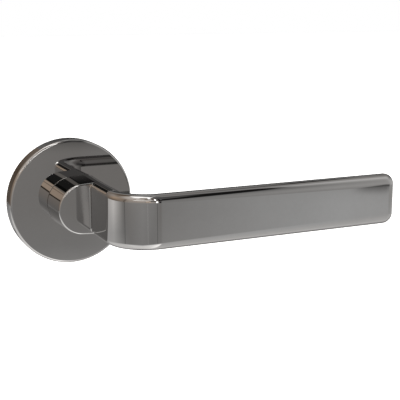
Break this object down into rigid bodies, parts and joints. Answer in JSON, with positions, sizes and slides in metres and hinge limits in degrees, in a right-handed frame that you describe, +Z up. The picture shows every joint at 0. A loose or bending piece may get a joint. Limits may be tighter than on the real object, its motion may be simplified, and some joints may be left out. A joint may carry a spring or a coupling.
{
  "type": "door lever handle",
  "caption": "Door lever handle on a round sprung rose: a flat bar blade bent out of a round neck, with its square spindle, spring cage and fixings.",
  "frame": {"origin": "the lever's turning axis at the door's face, which is the centre of the rose's back", "axes": "+Y along the turning axis, through the door and away from the user; +X the way the blade points; +Z up"},
  "size_m": [0.1516, 0.1128, 0.052],
  "materials": {
    "dark_nickel": "mirror polished dark nickel plate",
    "zinc_casting": "zinc alloy as cast, matt",
    "zinc_plate": "bright zinc plated steel",
    "spring_steel": "oiled spring steel",
    "yellow_zinc": "yellow passivated zinc plate on steel",
    "black_oxide": "black oxide steel",
    "nylon": "natural nylon"
  },
  "bodies": {
    "rose": {"rose_cover": "dark_nickel", "rose_base": "zinc_casting", "cover_snap_ring": "spring_steel", "neck_bush": "nylon", "thrust_washer": "nylon", "return_spring": "spring_steel", "cage_plate": "zinc_plate", "cage_screw_1": "zinc_plate", "cage_screw_2": "zinc_plate", "cage_screw_3": "zinc_plate", "bolt_sleeve_upper": "zinc_plate", "bolt_sleeve_lower": "zinc_plate", "wood_screw_left": "yellow_zinc", "wood_screw_right": "yellow_zinc"},
    "lever": {"lever_handle": "dark_nickel", "spindle": "zinc_plate", "grub_screw": "black_oxide", "drive_plate": "zinc_plate", "wave_washer": "spring_steel", "retaining_ring": "spring_steel"}
  },
  "joints": [
    {"name": "lever_turn", "type": "hinge", "parent": "rose", "child": "lever", "pos_m": [0, 0, 0], "axis": [0, 1, 0], "range_deg": [0, 45], "stiffness_Nm_per_rad": 0.8, "springref_deg": -28.65, "deforming": ["return_spring"]}
  ]
}
